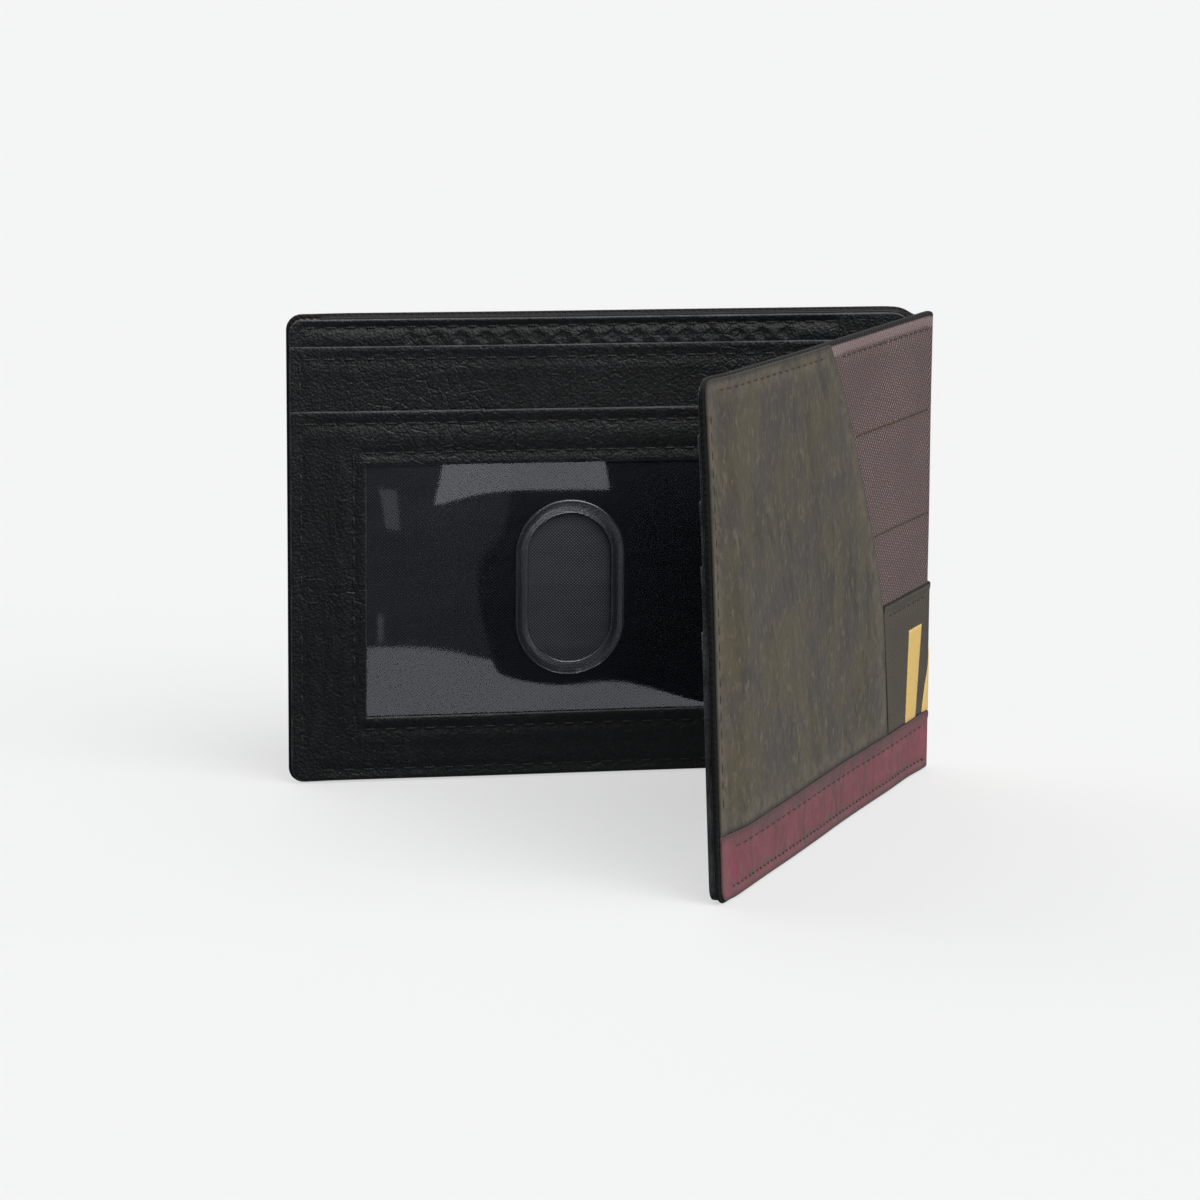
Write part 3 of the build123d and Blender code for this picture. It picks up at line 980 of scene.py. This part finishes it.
# %% Band and twill patch
band_face = added(
    puckers(band_foot_row, 0.12, 0.25, 0.05, KNOTS), puckers(band_hem_row, 0.1, 0.12, 0.06, FINE),
    hem_rise(band_top, 1.6, 0.12), slump(0.05, 3.0, 2.5),
)
skin(
    "band", "burgundy_leather",
    rounded_box(PAST_FOLD, layer_end, layer_inset, band_top, (LAYER_CORNER, 0)),
    layer_end, (layer_inset, band_top), span("back_band")[2], 0.22, (0.55, 0.42), outer=band_face,
)
patch_face = added(puckers(patch_rows, stitch=FINE), hem_rise(patch_top, 1.4, 0.15))
patch = skin(
    "patch", "olive_twill", patch_outline,
    SLANT_HEM + 0.4, (band_top + BAND_GAP, patch_top), span("front_twill_patch")[2], 0.2, (0.55, 0.9),
    [(patch_top - 2.4, 2.6, 0.42)], skin_nodes("twill_patch"), outer=patch_face,
)
cloth(patch, slant(patch_top), patch_top - band_top, "cover")

# %% [markdown]
# Panel leaves. The rest of the pieces lie on one panel and ride with it: the overlays outside,
# the pockets inside. Mouths of pockets stand a little proud, because a hand has opened them.

# %% Leaves of one panel
BODY = {"back": "back_panel", "front": "front_panel"}


def grid_leaf(name, panel, outline, reach, depth, rim, steps, fine_z=(), **relief):
    """A leaf on one panel; reach is its ranges of u and z, steps the grid's along s and z."""
    (u0, u1), (z0, z1) = reach
    ends = sorted((s_of(u0 + rim, panel), s_of(u1 - rim, panel)))
    z_lines = grid_lines(z0 + rim, z1 - rim, steps[1], fine_z)
    s_lines = grid_lines(*ends, steps[0])
    return leaf(name, on_panel(outline), s_lines, z_lines, depth, rim, **relief)


def panel_leaf(name, panel, node, slot, rim, step, fine_z=(), outline=None, corners=(0, 0), **relief):
    """A leaf that fills the CAD node it stands for, within an outline or a box with these corners."""
    *reach, depth = span(node)
    outline = outline or rounded_box(*reach[0], *reach[1], corners)
    made = grid_leaf(name, panel, outline, reach, depth, rim, (step, step * 1.6), fine_z, **relief)
    return settle(made, slot, BODY[panel], [node])


overlay_face = added(
    puckers(overlay_rows, 0.08, 0.1, 0.05, FINE), slump(0.09, 8.0, 11.0, 0.9), slump(0.05, 3.0, 5.0, 0.1)
)
for panel in ("back", "front"):
    panel_leaf(
        f"{panel}_overlay", panel, f"{panel}_leather_overlay", "olive_leather", 0.2, 0.6,
        [(height - 3, 3.2, 0.45)], overlay_outline, outer=overlay_face,
    )

# %% [markdown]
# The back panel's pockets. The card slot lies on the divider, the woven backing carries on
# below it, then comes the clear film, and the leather frame with the window cut out on top.

# %% Card slot and window pocket
slot_u, slot_z, slot_depth = span("card_slot_strip")
frame_u, frame_z, frame_depth = span("id_pocket_frame")
film_u, film_z, film_depth = span("id_window_film")
FILM_MARGIN = 2.6
FRAME_LEATHER = 0.6
FRAME_HEM = 3.9
FRAME_HEM_RISE = 0.36
window = (
    film_u[0] + FILM_MARGIN, film_u[1] - FILM_MARGIN,
    film_z[0] + FILM_MARGIN, film_z[1] - FILM_MARGIN,
)
fold_seam = frame_u[0] + POCKET_SEAM
free_row = layer_end - POCKET_SEAM
slot_rows = [
    ((fold_seam, slot_z[1] - HEM_SEAM), (free_row, slot_z[1] - HEM_SEAM)),
    ((free_row, frame_z[1] + 1.0), (free_row, slot_z[1] - 1.0)),
]
seam_u = (window[0] - HEM_SEAM, window[1] + HEM_SEAM)
seam_z = (window[2] - HEM_SEAM, window[3] + HEM_SEAM)
window_corners = list(zip(seam_u + seam_u[::-1], (seam_z[0],) * 2 + (seam_z[1],) * 2))
window_rows = list(zip(window_corners, window_corners[1:] + window_corners[:1]))
mouth_rows = [((fold_seam, frame_z[1] - HEM_SEAM), (free_row, frame_z[1] - HEM_SEAM))]
edge_rows = [
    ((free_row, SEAM_INSET + CORNER), (free_row, frame_z[1] - HEM_SEAM)),
    ((fold_seam, SEAM_INSET), (free_row - CORNER, SEAM_INSET)),
]


def mouth(top, rise, reach, low_u, high_u):
    """A pocket's mouth stands proud of what it lies on, most in the middle of its width."""
    def relief(u, z):
        share = np.clip((u - low_u) / (high_u - low_u), 0, 1)
        return rise * np.exp((z - top) / reach) * np.sin(math.pi * share) ** 0.5
    return relief


slot_face = added(
    puckers(slot_rows, 0.14, 0.2), mouth(slot_z[1], 0.14, 2.0, *slot_u), slump(0.04, 5.0, 4.0)
)
panel_leaf("card_slot", "back", "card_slot_strip", "black_leather", 0.2, 0.5, inner=slot_face)
backing = panel_leaf("window_backing", "back", "id_backing_fabric", "black_mesh", 0.1, 1.4)


def frame_outline(u, z):
    sheet = rounded_box(*frame_u, *frame_z, (LAYER_CORNER, 0))(u, z)
    return np.maximum(sheet, -rounded_box(*window)(u, z))


def frame_hem(u, z):
    """The frame's leather turned in behind along its sides and foot."""
    from_edge = np.minimum(np.minimum(frame_u[1] - u, u - frame_u[0]), z - frame_z[0])
    return FRAME_HEM_RISE * smooth((FRAME_HEM - from_edge) / 0.5)


frame_face = added(
    puckers(window_rows + mouth_rows + edge_rows, 0.17, 0.22, 0.1),
    mouth(frame_z[1], 0.1, 2.2, *frame_u), slump(0.05, 6.0, 5.0, 0.3),
)
leather_depth = (frame_depth[1] - FRAME_LEATHER, frame_depth[1])
pocket_frame = grid_leaf(
    "window_frame", "back", frame_outline, (frame_u, frame_z), leather_depth, 0.25, (0.5, 0.5),
    inner=frame_face, outer=frame_hem,
)
settle(pocket_frame, "black_leather", "back_panel", ["id_pocket_frame"])

# %% [markdown]
# The clear film is slack between its seams, so it bows and ripples, and that is what bends the
# long reflections in it. Its thumb slot has a welded bead round it.

# %% Film and thumb slot
slot_centre = ((window[0] + window[1]) / 2, (window[2] + window[3]) / 2)
SLOT_LENGTH = 27.3
SLOT_WIDTH = 15.1
BEAD_WIDTH = 2.4
BEAD_RISE = 0.5
BEAD_STEP = 0.42
GROOVE_DEPTH = 0.26
FILM_BOW = 0.28
FILM_THICKNESS = 0.18


def film_slack(u, z):
    """The film's bow and ripples, held down at the window's edge."""
    du = np.clip((u - window[0]) / (window[1] - window[0]), 0, 1)
    dz = np.clip((z - window[2]) / (window[3] - window[2]), 0, 1)
    held = (np.sin(math.pi * du) * np.sin(math.pi * dz)) ** 0.6
    ripple = 0.6 + 0.25 * np.sin(u / 9.0 + z / 14.0) + 0.15 * np.sin(u / 4.5 - z / 7.0)
    return FILM_BOW * held * ripple


def thumb_slot(u, z, margin=0.0):
    """Distance from the thumb slot, or from a line that lies a margin outside it."""
    return oblong(u, z, slot_centre, SLOT_LENGTH + 2 * margin, SLOT_WIDTH + 2 * margin)


def film_outline(u, z):
    return np.maximum(rounded_box(*film_u, *film_z)(u, z), -thumb_slot(u, z))


def bead_outline(u, z):
    return np.maximum(thumb_slot(u, z, BEAD_WIDTH), -thumb_slot(u, z))


def bead_groove(u, z):
    """The weld leaves a shallow groove along the middle of the bead."""
    across = -bead_outline(u, z) / (BEAD_WIDTH / 2)
    return -GROOVE_DEPTH * smooth((across - 0.25) / 0.35)


thin_film = (film_depth[0], film_depth[0] + FILM_THICKNESS)
film = grid_leaf(
    "window_film", "back", film_outline, (film_u, film_z), thin_film, 0.06, (0.8, 0.8), lift=film_slack
)
settle(film, "clear_vinyl", "back_panel", ["id_window_film"])

bead_reach = SLOT_WIDTH / 2 + BEAD_WIDTH
bead_height = SLOT_LENGTH / 2 + BEAD_WIDTH
bead_s = grid_lines(-slot_centre[0] - bead_reach, -slot_centre[0] + bead_reach, BEAD_STEP)
bead_z = grid_lines(slot_centre[1] - bead_height, slot_centre[1] + bead_height, BEAD_STEP)
bead_depth = (thin_film[1], thin_film[1] + BEAD_RISE)
bead_shape = {"inner": bead_groove, "lift": film_slack}
bead = leaf("thumb_slot_bead", on_panel(bead_outline), bead_s, bead_z, bead_depth, 0.3, **bead_shape)
settle(bead, "clear_vinyl", "back_panel", finish="welded_vinyl")

# %% [markdown]
# The front panel's card slots are stepped: each lies on the one before and ends lower, and its
# mouth is a turned hem. The hems make the row of small steps along the panel's free edge.

# %% Stepped card slots
TIER_COUNT = 4
TIER_HEM = 3.3
TIER_HEM_RISE = 0.2
tier_seams = []
for index in range(1, TIER_COUNT + 1):
    node = f"card_tier_{index}"
    tier_u, (_tier_foot, tier_top), tier_depth = span(node)
    seam_height = tier_top - HEM_SEAM
    row = ((tier_u[0] + POCKET_SEAM, seam_height), (tier_u[1] - POCKET_SEAM, seam_height))
    face = added(
        puckers([row], 0.12, 0.18, 0.06), hem_rise(tier_top, TIER_HEM, TIER_HEM_RISE),
        mouth(tier_top, 0.05, 1.5, *tier_u),
    )
    tier_seams.append(([row], tier_depth[1], face))
    panel_leaf(
        f"card_slot_{index}", "front", node, "black_leather", 0.16, 0.6, [(tier_top - 2, 2.6, 0.4)],
        corners=(LAYER_CORNER, 0), inner=face,
    )

# %% [markdown]
# Foil bars lean, and the second one goes round the fold, so it is cut mid-strip as the skins
# are. The tan lines across the twill are cords of touching stitches.

# %% Foil bars and the seam cords on the twill
def slanted_bar(near_top, near_foot, far_top, far_foot, foot, top):
    """A bar between two leaning lines, as a distance."""
    def distance(x, z):
        share = (z - foot) / (top - foot)
        near = near_foot + (near_top - near_foot) * share
        far = far_foot + (far_top - far_foot) * share
        return np.maximum(np.maximum(near - x, x - far), np.maximum(foot - z, z - top))
    return distance


FOIL_FOOT = band_top + 0.25
FOIL_RIM = 0.04
FRONT_BAR_TOP = 28.0
SPINE_BAR_TOP = 26.6
CORD_HEIGHTS = (67.2, 48.2)
foil_low, foil_high = span("front_gold_bar")[2]
foil_depth = (foil_low - 0.03, foil_high + 0.02)


def foil(name, outline, ends, top, steps, bodies, nodes=(), crossing=None):
    """A part of a foil bar whose grid runs between two ends along s."""
    s_lines = grid_lines(*ends, steps[0])
    z_lines = grid_lines(FOIL_FOOT + FOIL_RIM, top - FOIL_RIM, steps[1])
    made = leaf(name, outline, s_lines, z_lines, foil_depth, FOIL_RIM)
    settle(made, "gold_foil", bodies, nodes, crossing)


fold_s = 2 * strip
front_bar = on_panel(slanted_bar(4.8, 7.9, 12.4, 14.2, FOIL_FOOT, FRONT_BAR_TOP))
foil(
    "front_foil", front_bar, (fold_s + 4.8 + FOIL_RIM, fold_s + 14.2), FRONT_BAR_TOP, (0.45, 0.6),
    "front_panel", ["front_gold_bar"],
)
bar_start = half_strip + 0.5
spine_bar = slanted_bar(bar_start, bar_start, fold_s - 1.9, fold_s + 3.8, FOIL_FOOT, SPINE_BAR_TOP)
foil(
    "spine_foil", spine_bar, (bar_start + FOIL_RIM, 3 * half_strip), SPINE_BAR_TOP, (0.35, 0.5),
    ("spine_rear", "spine_fore"), ["spine_gold_bar"], fold_crossing(1),
)
foil(
    "fold_foil", spine_bar, (3 * half_strip, fold_s + 3.8), SPINE_BAR_TOP, (0.35, 0.5),
    ("spine_fore", "front_panel"), crossing=fold_crossing(2),
)


# %% Thread of every seam
def on_outer(depth, relief):
    """Depth of an outer face with its relief."""
    return lambda u, z: depth - relief(u, z)


def on_inner(depth, relief):
    return lambda u, z: depth + relief(u, z)


def sew(name, panel, seams, side, nodes=(), stitch=MACHINE, finish="black_thread", slot="black_thread"):
    """The thread of one panel's seams, and the CAD nodes of stitches that it stands for."""
    settle(thread(name, seams, panel, side, stitch), slot, BODY[panel], nodes, finish=finish)


on_twill = on_outer(0.0, cover_face)
on_band = on_outer(span("front_band")[2][0], band_face)
on_patch = on_outer(span("front_twill_patch")[2][0], patch_face)
on_overlay = on_outer(span("front_leather_overlay")[2][0], overlay_face)
cord_rows = [((1.0, z), (float(slant(np.array(z))) - 1.2, z)) for z in CORD_HEIGHTS]
sew(
    "seam_cords", "front", [(cord_rows, on_twill)], OUT, ["front_seam_cords"], CORD,
    "tan_thread", "tan_thread",
)
hem_seams = [(band_hem_row, on_band), (twill_rows, on_twill), (patch_rows, on_patch)]
for panel in ("back", "front"):
    foot_seams = [(band_foot_row, on_band)]
    sew(f"{panel}_outer_thread", panel, foot_seams, OUT, [f"{panel}_outer_stitches"], KNOTS, "brown_thread")
    sew(f"{panel}_hem_thread", panel, hem_seams, OUT, (), FINE, "brown_thread")
    sew(f"{panel}_overlay_thread", panel, [(overlay_rows, on_overlay)], OUT, (), FINE, "worn_thread")

on_frame = on_inner(frame_depth[1], frame_face)
mouth_seams = [
    (top_row, on_inner(divider_depth[1], divider_face)),
    (slot_rows, on_inner(slot_depth[1], slot_face)),
    (mouth_rows, on_frame),
]
sew("window_thread", "back", [(window_rows, on_frame)], IN, ["window_stitches"])
sew("pocket_edge_thread", "back", mouth_seams, IN, ["pocket_edge_stitches"])
sew("back_edge_thread", "back", [(edge_rows, on_frame)], IN, ["back_edge_stitches"])
tier_lines = [(rows, on_inner(depth, face)) for rows, depth, face in tier_seams]
sew("tier_thread", "front", tier_lines, IN, ["tier_stitches"])
sew("front_edge_thread", "front", [(edge_rows[1:], tier_lines[-1][1])], IN, ["front_edge_stitches"])

# %% [markdown]
# The camera stands a good way off with a long lens, a little above the wallet and to its left,
# and is turned very slightly about its own axis.

# %% Camera
CAMERA_PLACE = Vector((-142.11, -707.96, 169.11)) * MM
CAMERA_PITCH = math.radians(10.083)
CAMERA_YAW = math.radians(10.50)
CAMERA_ROLL = math.radians(0.395)
ahead = Vector((
    math.sin(CAMERA_YAW) * math.cos(CAMERA_PITCH),
    math.cos(CAMERA_YAW) * math.cos(CAMERA_PITCH),
    -math.sin(CAMERA_PITCH),
))
level_right = Vector((math.cos(CAMERA_YAW), -math.sin(CAMERA_YAW), 0))
level_up = level_right.cross(ahead)
right = level_right * math.cos(CAMERA_ROLL) + level_up * math.sin(CAMERA_ROLL)
up = level_up * math.cos(CAMERA_ROLL) - level_right * math.sin(CAMERA_ROLL)
lens = bpy.data.cameras.new("camera")
lens.lens = 129.0
lens.sensor_width = 36.0
lens.clip_start = 0.01
camera = put("camera", lens)
turn = Matrix((right, up, -ahead)).transposed().to_4x4()
camera.matrix_world = Matrix.Translation(CAMERA_PLACE) @ turn
bpy.context.scene.camera = camera

# %% [markdown]
# The stage: a pale floor that glows a little, so that it stays even to the horizon while the
# wallet still leaves its soft shadow on it, a wide soft key light, a fill, and a weaker light
# from behind. Cards are seen in gloss alone: one overhead gives black leather its sheen, and
# four small ones stand where the clear film mirrors them, as windows and lamps do in a room.

# %% Floor and light
FLOOR_REACH = 30.0
bpy.context.scene.view_settings.view_transform = "Standard"
world = bpy.data.worlds.new("studio")
world.use_nodes = True
sky = world.node_tree.nodes["Background"].inputs
sky["Color"].default_value = (0.9, 0.95, 1.0, 1)
sky["Strength"].default_value = 0.16
bpy.context.scene.world = world


def make_floor():
    mesh = bpy.data.meshes.new("floor")
    corners = [(x * FLOOR_REACH, y * FLOOR_REACH, 0) for x, y in ((-1, -1), (1, -1), (1, 1), (-1, 1))]
    mesh.from_pydata(corners, [], [(0, 1, 2, 3)])
    floor = put("floor", mesh)
    f = Finish("pale_floor")
    f.set(Base_Color=(0.32, 0.32, 0.32, 1), Roughness=1.0, Specular_IOR_Level=0.0)
    f.set(Emission_Color=(1, 1, 1, 1), Emission_Strength=0.577)
    mesh.materials.append(FINISHES["pale_floor"])
    floor.visible_glossy = False
    floor.visible_diffuse = False


make_floor()


def shining(name, light, towards):
    """A light in the scene, turned to shine that way."""
    made = put(name, light)
    made.rotation_mode = "QUATERNION"
    made.rotation_quaternion = Vector(towards).to_track_quat("-Z", "Y")
    return made


def sun(name, towards, strength, spread):
    """A wide soft light, alike everywhere."""
    light = bpy.data.lights.new(name, "SUN")
    light.energy = strength
    light.angle = math.radians(spread)
    shining(name, light, towards)


def card(name, place, target, size, radiance):
    """A soft box that is seen only in reflections."""
    light = bpy.data.lights.new(name, "AREA")
    light.shape = "RECTANGLE"
    light.size, light.size_y = size
    light.energy = radiance * math.pi * size[0] * size[1]
    made = shining(name, light, Vector(target) - Vector(place))
    made.location = place
    made.visible_diffuse = False
    made.visible_camera = False


def film_card(name, u_range, z_range, reach, radiance):
    """A card that the film mirrors over a patch of the window, as seen from the camera."""
    film_y = fold_lines[0][1] - thin_film[1]
    mirrored = np.array([CAMERA_PLACE.x / MM, 2 * film_y - CAMERA_PLACE.y / MM, CAMERA_PLACE.z / MM])
    corners = []
    for u, z in zip(u_range, z_range):
        place = np.array([fold_lines[0][0] - u, film_y, z])
        corners.append(place + (place - mirrored) * reach / (mirrored[1] - film_y))
    middle = (corners[0] + corners[1]) / 2 * MM
    size = np.abs(corners[1] - corners[0]) * MM
    card(name, middle, middle + np.array([0, 0.1, 0]), (size[0], size[2]), radiance)


sun("key", (-0.30, 0.62, -0.72), 2.1, 50)
sun("fill", (-0.80, 0.45, -0.40), 1.1, 70)
sun("behind", (0.30, -0.62, -0.60), 1.3, 70)
card("overhead", (0.0, 0.1, 0.9), (0.0, 0.0, 0.05), (1.6, 0.7), 2.8)
film_card("window_sheen_top", (84.4, 55.8), (52.0, 61.0), 60, 1.5)
film_card("window_sheen_foot", (102.0, 10.0), (4.0, 23.0), 115, 1.2)
film_card("window_glint_top", (94.8, 90.2), (49.5, 58.4), 150, 0.5)
film_card("window_glint_foot", (98.4, 96.4), (23.5, 29.5), 150, 0.5)
